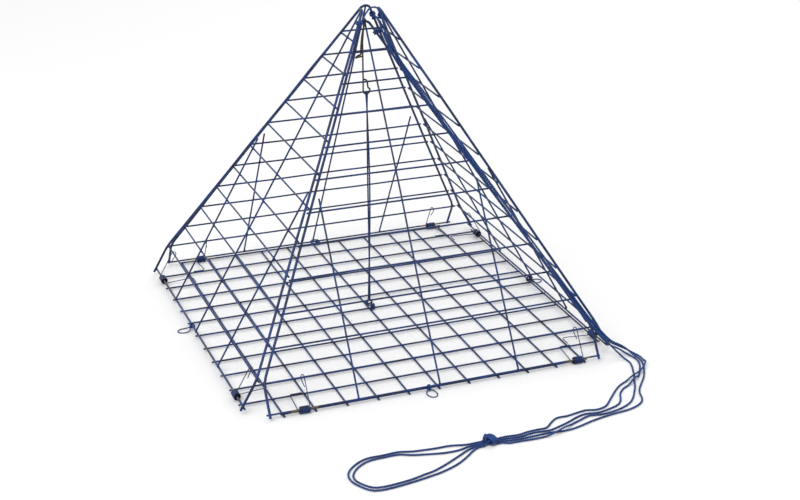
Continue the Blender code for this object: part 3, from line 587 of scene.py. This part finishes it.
def loop_route(centre, first, second, start=0.0, turns=1.0, rise=Vector(), steps=24):
    """Turns of cord round a centre; first and second are the half widths of the loop, rise its pitch."""
    count = max(2, round(steps * turns))
    return [centre + first * cos(start + 2 * pi * turns * k / count)
            + second * sin(start + 2 * pi * turns * k / count) + rise * turns * k / count
            for k in range(count + 1)]


def smooth_route(points, step):
    """A smooth curve through the chosen points, read at about one step."""
    ends = [2 * points[0] - points[1]] + points + [2 * points[-1] - points[-2]]
    route = [points[0].copy()]
    for p0, p1, p2, p3 in zip(ends, ends[1:], ends[2:], ends[3:]):
        count = max(1, round((p2 - p1).length / step))
        for k in range(1, count + 1):
            t = k / count
            route.append(0.5 * (2 * p1 + (p2 - p0) * t + (2 * p0 - 5 * p1 + 4 * p2 - p3) * t ** 2
                                + (3 * p1 - p0 - 3 * p2 + p3) * t ** 3))
    return route


def cord_finish(name, deep, bright):
    """Blue twisted cord: yarns with painted shade in their creases, fine fibres across them and a soft sheen."""
    made, tree, shader, place = new_finish(name)
    worn = add_node(tree, "ShaderNodeTexNoise", {"Vector": place, "Scale": 130.0, "Detail": 3.0})
    fibre = add_node(tree, "ShaderNodeTexNoise", {"Vector": place, "Scale": 2600.0, "Detail": 3.0})
    crease_shade = add_node(tree, "ShaderNodeAttribute", attribute_name="crease_shade").outputs["Fac"]
    mixed = add_node(tree, "ShaderNodeMath", {0: fibre.outputs[0], 1: worn.outputs[0]}, operation="ADD")
    # Painted shade: the colour goes towards the deep one in the creases between the yarns, mixed with random fibre
    # and wear tone.
    level = add_node(tree, "ShaderNodeMath", {0: crease_shade, 1: 0.9, 2: mixed.outputs[0]},
                     operation="MULTIPLY_ADD")
    tone = add_node(tree, "ShaderNodeMapRange", {"Value": level.outputs[0], "From Min": 1.0, "From Max": 1.95})
    colour = add_node(tree, "ShaderNodeMix", {0: tone.outputs[0], 6: (*deep, 1.0), 7: (*bright, 1.0)},
                      data_type="RGBA")
    bump = add_node(tree, "ShaderNodeBump", {"Height": fibre.outputs[0], "Strength": 0.5, "Distance": 0.0002})
    fill_sockets(tree, shader, {"Base Color": colour.outputs[2], "Normal": bump.outputs[0], "Roughness": 0.62,
                                "Sheen Weight": 0.08, "Sheen Roughness": 0.4})
    return made


# Each cord's first colour is mostly its painted crease shade, the second its full colour.
tie_finish = cord_finish("blue tie cord", (0.002, 0.007, 0.030), (0.012, 0.072, 0.30))
for side in SIDES:
    place = TIE_PLACES[side]
    edge = Vector((place, 0.0, EDGE_Z[side]))
    axis = edge + Vector((0.0, AXIS_OUT, AXIS_RISE))
    up_line = (axis - edge).normalized()
    cross_line = Vector((0.0, -up_line.z, up_line.y))
    radius = MESH_WIRE / 2 + 0.1 * MM + TIE_CORD / 2
    oval = arc(axis, -cross_line, up_line, radius, 0.0, pi, 8)
    oval += arc(edge, cross_line, -up_line, radius, 0.0, pi, 8)
    knot = edge - cross_line * radius + up_line * 0.6 * MM
    knot.z = max(knot.z, TIE_KNOT)
    knot.y += TIE_KNOT / 2
    bm = bmesh.new()
    for shift in (-TURN_GAP / 2, TURN_GAP / 2):
        ring = [p + across * shift * TIE_CORD for p in oval]
        laid_cord(bm, ring + [ring[0]], TIE_CORD)
    half_loop = TIE_LOOP_WIDTH / 2
    floor_z = TIE_CORD / 2
    fall = [Vector((place + half_loop * sin(a), knot.y + TIE_LOOP_LENGTH * (1 - cos(a)) / 2,
                    floor_z + (knot.z - floor_z) * ((1 + cos(a)) / 2) ** 6))
            for a in (2 * pi * k / 30 for k in range(31))]
    laid_cord(bm, fall, TIE_CORD)
    laid_cord(bm, loop_route(knot, mm(0.0, 1.0, 0.0), mm(0.35, 0.0, 1.0)), TIE_CORD)
    laid_cord(bm, loop_route(knot, mm(1.1, 0.0, 0.0), mm(0.0, 0.5, 0.9), 0.5), TIE_CORD)
    bmesh.ops.transform(bm, matrix=edge_frame(side), verts=bm.verts)
    tie = finish_piece(bm, side + "_hinge_tie", tie_finish)
    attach(tie, "base")
    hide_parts(side + "_tie")

# Closing hook. A dark drawn wire hangs inside the pyramid: an eye at its lower end, a shank up to the apex
# of the front point, a bend over it and a leg down the face that curls round the top cross wire.
HOOK_WIRE = 1.4 * MM
HOOK_SIDES = 10
CLEAR = 0.3 * MM                # gap between things that lie over each other
HOOK_BEND = ROD_WIRE / 2 + CLEAR + HOOK_WIRE / 2
EYE_HEIGHT = 190.5 * MM
EYE_RADIUS = 2.9 * MM
EYE_X = 2.1 * MM
EYE_NECK = 8.0 * MM
SHANK_X = -1.3 * MM
SHANK_END = 18.0 * MM
EYE_TURN = (-0.35 * pi, pi)
BEND_TURN = 0.8 * pi
MESH_POINT = 0.789 * MM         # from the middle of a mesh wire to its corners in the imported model
ROD_FLAT = 0.97 * MM            # and from the middle of a rod to its flats there
# Bends: right, back and up from the eye's middle; right and up the face from the top cross
# wire; right, down the face past that wire, and off the face
HOOK_TAIL = ((-3.2, -2.2, 10.5), (-0.6, -2.2, 9.0))
HOOK_LEG = ((-5.0, 14.0), (-8.5, 3.0))
HOOK_CURL = ((-9.0, 0.28, 1.6), (-10.2, 0.47, -1.2), (-12.2, 1.51, -1.4), (-13.2, 2.71, -0.2), (-12.0, 2.71, 1.2),
             (-7.5, 2.31, 1.9))

front_frame = hinge_frame("front")
rise = front_frame.to_3x3() @ outward
normal = front_frame.to_3x3() @ upward
apex = front_frame @ Vector((0.0, APEX_CENTRE + APEX_RADIUS, ROD_OFF))
shank_y = apex.y + HOOK_BEND
eye = Vector((EYE_X, shank_y, EYE_HEIGHT + EYE_RADIUS))
row = front_frame @ Vector((0.0, SHOULDER + TOP_ROW * ROW_STEP, 0.0))
on_rod = row + normal * (ROD_OFF + ROD_FLAT + CLEAR + HOOK_WIRE / 2)
under_wire = row - rise * (MESH_POINT + CLEAR + HOOK_WIRE / 2)
lower = [eye + mm(*bend) for bend in HOOK_TAIL]
lower += arc(eye, across, -upward, EYE_RADIUS, *EYE_TURN, 8)
shank = [eye + Vector((-EYE_RADIUS, 0.0, EYE_NECK)), Vector((SHANK_X, shank_y, apex.z - SHANK_END))]
over = arc(apex, outward, upward, HOOK_BEND, 0.0, BEND_TURN, 10)
leg = [on_rod + (across * x + rise * y) * MM for x, y in HOOK_LEG]
curl = [under_wire + (across * x - rise * y + normal * z) * MM for x, y, z in HOOK_CURL]
route = smooth_route(lower + shank[:1], 0.5 * MM) + stepped([*shank, over[0]], 4.0 * MM)[1:] + over[1:]
route += smooth_route([over[-1], *leg, *curl], 0.6 * MM)[1:]

hook_finish, hook_tree, hook_shader, hook_place = new_finish("dark hook wire")
hook_scale = add_node(hook_tree, "ShaderNodeTexNoise", {"Vector": hook_place, "Scale": 240.0, "Detail": 5.0})
hook_tone = ramp(hook_tree, hook_scale.outputs[0], 0.35, (0.018, 0.014, 0.013), 0.68, (0.085, 0.068, 0.060))
hook_rough = add_node(hook_tree, "ShaderNodeMapRange",
                      {"Value": hook_scale.outputs[0], "To Min": 0.35, "To Max": 0.65})
hook_bump = add_node(hook_tree, "ShaderNodeBump",
                     {"Height": hook_scale.outputs[0], "Strength": 0.3, "Distance": 0.0002})
fill_sockets(hook_tree, hook_shader, {"Base Color": hook_tone, "Metallic": 0.75,
                                      "Roughness": hook_rough.outputs[0], "Normal": hook_bump.outputs[0]})
bm = bmesh.new()
sweep(bm, carried(route), HOOK_WIRE / 2, HOOK_SIDES)
hook = finish_piece(bm, "closing_hook", hook_finish)
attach(hook, "front_point")
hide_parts("closure_hook")

# Closing cord. A doubled blue cord runs from the hook's eye down to the middle of the base, where it is
# knotted round a mesh wire; its knot stays on the base.
CLOSURE_CORD = 1.5 * MM
CLOSURE_TWIST = 260.0 * MM      # length in which the two legs would turn once round each other
CLOSURE_KNOT = mm(0.0, 3.0, 6.2)
CLOSURE_BOW = mm(1.2, 0.6, 0.0)
CLOSURE_SPREAD = CLOSURE_CORD * 0.52        # from the middle line to each leg
CLOSURE_STEPS = 60
CLOSURE_PARTING = 0.93          # share of the way up from which the legs part to reach the eye
# Turns of the knot, in mm: its middle's shift, the two half widths, start, number of turns and rise
CLOSURE_TURNS = (((0.6, -0.4, -0.3), (2.4, 1.0, 0.6), (-0.5, 0.9, 2.0), 0.4, 1.6, (0.0, 0.9, 0.0)),
                 ((-0.4, 0.2, 0.6), (1.9, -1.6, 0.4), (0.4, 0.4, 1.6), 0.0, 1.3, (0.5, 0.4, 0.0)))
CLOSURE_TAIL = ((-0.8, 0.6, -1.2), (-2.6, 1.2, -0.2), (-3.3, 2.4, 0.6))

closure_finish = cord_finish("blue closing cord", (0.002, 0.006, 0.026), (0.010, 0.055, 0.23))
eye_low = Vector((EYE_X, shank_y, EYE_HEIGHT))
eye_loop = arc(eye_low, outward, upward, HOOK_WIRE / 2 + CLEAR + CLOSURE_CORD / 2, 0.0, pi, 8)
knot_top = CLOSURE_KNOT + upward * 2.0 * MM
legs = []
for hand in (1, -1):
    leg = []
    for k in range(CLOSURE_STEPS + 1):
        t = k / CLOSURE_STEPS
        middle = knot_top.lerp(eye_low, t) + CLOSURE_BOW * sin(pi * t)
        turn = 2 * pi * (1 - t) * (eye_low - knot_top).length / CLOSURE_TWIST
        parting = smooth_step(CLOSURE_PARTING, 1.0, t)
        spread = CLOSURE_SPREAD + (eye_loop[0].y - eye_low.y - CLOSURE_SPREAD) * parting
        leg.append(middle + (outward * cos(turn) + across * sin(turn)) * spread * hand)
    legs.append(leg)
bm = bmesh.new()
laid_cord(bm, legs[0][:-1] + eye_loop + legs[1][:-1][::-1], CLOSURE_CORD)
closing_cord = finish_piece(bm, "closing_cord", closure_finish)
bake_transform(closing_cord)
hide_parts("closure_cord")

bm = bmesh.new()
mesh_crossing = Vector((0.0, 0.0, UPPER_Z))
for shift in (1.6, 3.2):
    laid_cord(bm, loop_route(mesh_crossing + mm(shift, 0.5, 1.1), outward * 1.9 * MM, upward * 2.3 * MM),
              CLOSURE_CORD)
for shift, first, second, start, turns, climb in CLOSURE_TURNS:
    laid_cord(bm, loop_route(CLOSURE_KNOT + mm(*shift), mm(*first), mm(*second), start, turns, mm(*climb)),
              CLOSURE_CORD)
laid_cord(bm, smooth_route([CLOSURE_KNOT + mm(*p) for p in CLOSURE_TAIL], 0.5 * MM), CLOSURE_CORD)
closing_knot = finish_piece(bm, "closing_knot", closure_finish)
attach(closing_knot, "base")
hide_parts("closure_knot")

# Apex knots. The end of each harness cord is tied round the outline rod near the top of its point: two
# turns round the rod and one knot beside it.
HARNESS_CORD = 1.65 * MM
APEX_KNOT = 2.2 * MM
KNOT_HEIGHT = APEX_CENTRE - 6.2 * MM
ROD_POINT = 1.077 * MM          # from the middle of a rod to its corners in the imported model
# Side of the rod, and where the knot lies, as shares out past the rod and off the face
APEX_KNOTS = {"front": (1, 1, 0), "right": (1, 0, -1), "back": (-1, 0, -1), "left": (1, 1, 0)}

harness_finish = cord_finish("blue harness cord", (0.002, 0.007, 0.030), (0.013, 0.085, 0.36))
for side, (hand, share_out, share_off) in APEX_KNOTS.items():
    past_rod = Vector((hand * cos(TAPER), sin(TAPER), 0.0))
    rod_line = Vector((-hand * sin(TAPER), cos(TAPER), 0.0))
    rod = Vector((hand * rod_width(KNOT_HEIGHT), KNOT_HEIGHT, ROD_OFF))
    radius = ROD_POINT + HARNESS_CORD / 2 + 0.05 * MM
    bm = bmesh.new()
    laid_cord(bm, loop_route(rod - rod_line * 0.8 * MM, past_rod * radius, upward * radius, 0.0, 2.0,
                             rod_line * 1.7 * MM), HARNESS_CORD)
    lump = rod + (past_rod * share_out + upward * share_off) * (ROD_POINT + CLEAR + APEX_KNOT)
    aside = upward if share_out else past_rod
    laid_cord(bm, loop_route(lump, rod_line * 1.4 * MM, aside * 1.3 * MM, 0.3), HARNESS_CORD)
    laid_cord(bm, loop_route(lump, (rod_line + aside) * 0.9 * MM, past_rod * 1.3 * MM, 0.8), HARNESS_CORD)
    bmesh.ops.transform(bm, matrix=hinge_frame(side), verts=bm.verts)
    knot_piece = finish_piece(bm, side + "_top_knot", harness_finish)
    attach(knot_piece, side + "_point")
    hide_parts(side + "_apex_knot")

# Harness. Four blue cords run from the apex knots down the right front corner, lie in loose curves on the
# floor and meet in one overhand knot, past which they form two handle loops.
KNOT_PLACE = mm(0.5, -245.0, 3.9)
KNOT_HALF = 5.3 * MM
KNOT_RUN = 4.0 * MM
STRAND_SPACING = 2.2 * MM
GROUND = 0.95                   # middle of a cord that lies on the floor, in mm
OVER = 2.95                     # and of one that crosses over another
LANE_HEIGHTS = (262, 235, 200, 160, 120, 80, 36)
LANE_SPREAD = 1.75 * MM         # from the middle of the bundle to the middle of each strand
LANE_ASIDE = 1.0 * MM           # from the middle of the bundle to the middle of the rod under it
LANE_TURN = pi / 2              # how far the bundle turns on its way down
ROUTE_STEP = 3.0 * MM
# The four cords that pass through the knot: right of its middle in mm, share of their spacing, and height
KNOT_THROUGH = ((-5.2, 1.0, GROUND), (-3.0, 0.75, 2.2), (0.0, 0.6, 3.4), (3.0, 0.75, 2.2), (5.2, 1.0, GROUND))
# The two sets of turns round them: angle from above, shift, half width and half height, and place of each turn
KNOT_TURNS = ((32.0, (0.9, -0.4, 0.0), (5.0, 2.95), (-2.3, -0.75, 0.8, 2.3)),
              (-38.0, (-2.0, 1.4, 0.1), (3.6, 2.7), (-0.8, 0.8)))
TURN_PINCH = 0.05               # how much smaller each turn is per mm from the middle one
TURN_SLANT = 0.12


def bundle_lane(first_turn):
    """Where one of the four strands lies in the bundle that runs down the right rod of the front point."""
    past_rod = Vector((cos(TAPER), sin(TAPER), 0.0))
    over_rod = ROD_OFF + ROD_POINT + CLEAR + HARNESS_CORD / 2 + LANE_SPREAD
    lane = []
    for height in LANE_HEIGHTS:
        turn = first_turn - LANE_TURN * (LANE_HEIGHTS[0] - height) / (LANE_HEIGHTS[0] - LANE_HEIGHTS[-1])
        middle = Vector((rod_width(height * MM), height * MM, over_rod)) - past_rod * LANE_ASIDE
        place = front_frame @ (middle + (past_rod * cos(turn) + upward * sin(turn)) * LANE_SPREAD)
        lane.append(tuple(place / MM))
    return lane


# For each strand: the point whose apex it is tied to, its place in the knot, its length, and its route in mm
STRANDS = {
    "front_strand": ("front", 1, 0.541, (
        (12.7, 3.2, 244.3), *bundle_lane(-0.25 * pi), (136.5, -144.2, 26.8), (143.3, -148.5, 17.8),
        (150.5, -150.8, 10.6), (159.1, -151.4, 5.5), (164, -154, 2.2), (167.2, -159.5, GROUND),
        (168.2, -166, GROUND), (166.8, -172.5, GROUND), (163.6, -179, GROUND), (159.2, -186, GROUND),
        (155.5, -191.5, GROUND), (151.5, -195, OVER), (146, -199, OVER),
        (140, -202.5, GROUND), (133, -206.5, GROUND), (127, -213, GROUND), (123, -221, GROUND),
        (117.5, -227.2, GROUND), (108, -231, GROUND), (97, -233.2, GROUND), (87, -231.6, GROUND),
        (78, -234, GROUND), (70, -237.8, GROUND), (60, -241.6, GROUND), (50, -244.4, GROUND),
        (38, -243.4, GROUND), (26, -245.2, GROUND), (15, -244.2, GROUND))),
    "right_strand": ("right", 0, 0.556, (
        (10.3, 5.8, 253.8), (12.9, 1.3, 246.5), *bundle_lane(0.25 * pi), (138.6, -143.7, 28),
        (145.2, -147.4, 19), (151.8, -149.3, 12), (160.2, -149.8, 7), (167, -150.6, 3.2),
        (171.8, -155.5, GROUND), (173.4, -162, GROUND), (172.9, -168, GROUND), (171.3, -174, OVER),
        (164.5, -182.5, OVER), (157, -188.5, OVER),
        (149, -192.8, OVER), (141, -196.2, GROUND), (132, -201.5, GROUND), (123.5, -209.5, GROUND),
        (115.5, -218, GROUND), (107, -226.3, GROUND), (98, -228.6, GROUND), (90, -226.6, GROUND),
        (82, -227.6, GROUND), (73, -229.4, GROUND), (64, -229.4, GROUND), (57, -234, GROUND),
        (50, -240, GROUND), (42, -240.2, GROUND), (34, -240.6, GROUND), (26, -242.2, GROUND),
        (16, -241.2, GROUND))),
    "back_strand": ("back", 3, 0.554, (
        (7.5, 10.2, 256.2), (6.6, 6, 257.8), (7.4, 0, 255), (9.5, -4.6, 246), (13, -7.8, 236),
        *bundle_lane(1.25 * pi), (136.4, -146.4, 28), (143.8, -150.6, 19), (150, -153.2, 11.5), (154.8, -156.4, 6),
        (159, -161, 1.6), (160.5, -167, GROUND), (158.6, -175, GROUND), (153.5, -187, GROUND),
        (148.6, -196.4, GROUND), (144, -206, GROUND), (139.5, -213, GROUND), (133.6, -221.5, GROUND),
        (126.5, -228.5, GROUND), (115, -234, GROUND), (100, -236.6, GROUND), (88, -235.2, GROUND),
        (78, -239, GROUND), (70, -242.2, GROUND), (62, -247.2, OVER), (54, -250.6, OVER),
        (44, -251.6, GROUND), (34.7, -251.8, GROUND), (22.9, -251.1, GROUND), (14.5, -250.6, GROUND))),
    "left_strand": ("left", 2, 0.591, (
        (-10.6, -11, 259.6), (-6, -7.5, 264.8), (-1, -6, 268.2), (4.5, -7, 267), (7, -9.5, 259),
        (8.4, -11, 250), (11.2, -11.9, 240), (14.6, -12.4, 231), *bundle_lane(0.75 * pi),
        (138.5, -145.8, 29.2), (145.7, -149.5, 20.2), (152.5, -151.2, 13.4),
        (160.9, -151.6, 8.5), (166.6, -153.6, 4.2), (170, -158.5, GROUND), (170.9, -165, GROUND),
        (169.9, -171.5, GROUND), (167.5, -178, GROUND), (163, -187, GROUND), (157.5, -195.5, GROUND),
        (151, -203.5, GROUND), (145.5, -210.5, GROUND), (142, -217, GROUND), (139.5, -225, GROUND),
        (134.5, -231.5, GROUND), (123, -236.8, GROUND), (104, -239.4, GROUND), (88.2, -242.6, GROUND),
        (79.6, -245.2, GROUND), (68, -248.4, GROUND), (58, -248.8, GROUND), (50, -247.6, GROUND),
        (36.5, -247.9, GROUND), (23.6, -248.2, GROUND), (14.4, -247.2, GROUND))),
}
# For each handle loop: its places in the knot, its length, and its route in mm
HANDLE_LOOPS = {
    "outer_handle_loop": (3, 0, 0.246, (
        (-16, -241.6, GROUND), (-28, -238.8, GROUND), (-40, -238.4, GROUND), (-56, -236.6, GROUND),
        (-66, -233.8, GROUND), (-78, -234.2, GROUND), (-90, -234.2, GROUND), (-99, -238, GROUND),
        (-107, -244.6, GROUND), (-111, -252, GROUND), (-111.2, -260, GROUND), (-108, -268, GROUND),
        (-103, -275, GROUND), (-97, -277.6, GROUND), (-86, -277.5, GROUND), (-70, -275.4, GROUND),
        (-59.6, -273.4, GROUND), (-47, -270.5, GROUND), (-33, -264.8, GROUND), (-22, -257.4, GROUND),
        (-15, -251.6, GROUND))),
    "inner_handle_loop": (2, 1, 0.234, (
        (-17, -245.2, GROUND), (-24, -247, GROUND), (-33.5, -247, GROUND), (-42.4, -245.4, GROUND),
        (-51.4, -243.2, GROUND), (-59, -241, GROUND), (-67, -237.2, GROUND), (-78, -237, GROUND),
        (-89, -237.6, GROUND), (-97, -241, GROUND), (-104, -247, GROUND), (-108, -254, GROUND),
        (-107.9, -261, GROUND), (-104.5, -267.5, GROUND), (-100, -272.6, GROUND), (-94, -274.2, GROUND),
        (-84, -273.9, GROUND), (-70, -272, GROUND), (-60, -269.2, GROUND), (-52, -267.2, GROUND),
        (-40, -261.6, GROUND), (-27.5, -254.6, GROUND), (-18, -249.2, GROUND))),
}


def laid_down(points):
    """A smooth cord through places in mm, nowhere below the floor."""
    route = smooth_route([mm(*p) for p in points], ROUTE_STEP)
    return [Vector((p.x, p.y, max(p.z, GROUND * MM))) for p in route]


def knot_row(k):
    """Place of one of four cords that lie side by side at the harness knot."""
    return (k - 1.5) * STRAND_SPACING


bm = bmesh.new()
for k in range(4):
    through = [KNOT_PLACE + Vector((x * MM, share * knot_row(k), height * MM - KNOT_PLACE.z))
               for x, share, height in KNOT_THROUGH]
    laid_cord(bm, smooth_route(through, 0.6 * MM), HARNESS_CORD)
for tilt, centre, (half_width, half_height), shifts in KNOT_TURNS:
    lay_axis = Vector((cos(radians(tilt)), sin(radians(tilt)), 0.0))
    wide_axis = Vector((-lay_axis.y, lay_axis.x, 0.0))
    for shift in shifts:
        pinch = 1.0 - TURN_PINCH * abs(shift)
        middle = KNOT_PLACE + mm(*centre) + lay_axis * shift * MM
        tall_axis = upward + wide_axis * TURN_SLANT
        laid_cord(bm, loop_route(middle, wide_axis * half_width * pinch * MM, tall_axis * half_height * pinch * MM,
                                 0.4 * shift), HARNESS_CORD)
overhand = finish_piece(bm, "overhand_knot", harness_finish)
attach(overhand, "base")
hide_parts("harness_knot")

for name, (side, order, length, points) in STRANDS.items():
    row = (KNOT_PLACE.y - knot_row(order)) / MM
    right = (KNOT_PLACE.x + KNOT_HALF) / MM
    route = laid_down((*points, (right + KNOT_RUN / MM, row, GROUND), (right, row, GROUND)))
    bm = bmesh.new()
    laid_cord(bm, route, HARNESS_CORD)
    strand = finish_piece(bm, "harness_" + name, harness_finish)
    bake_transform(strand)
    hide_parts(name)
    tuple(route[0])
    [tuple(p) for p in route]

for name, (first, second, length, points) in HANDLE_LOOPS.items():
    left = (KNOT_PLACE.x - KNOT_HALF) / MM
    rows = [(KNOT_PLACE.y + knot_row(k)) / MM for k in (first, second)]
    route = laid_down(((left, rows[0], GROUND), (left - KNOT_RUN / MM, rows[0], GROUND), *points,
                       (left - KNOT_RUN / MM, rows[1], GROUND), (left, rows[1], GROUND)))
    bm = bmesh.new()
    laid_cord(bm, route, HARNESS_CORD)
    handle = finish_piece(bm, "cord_" + name, harness_finish)
    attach(handle, "base")
    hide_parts(name)
    tuple(route[0])
    [tuple(p) for p in route]
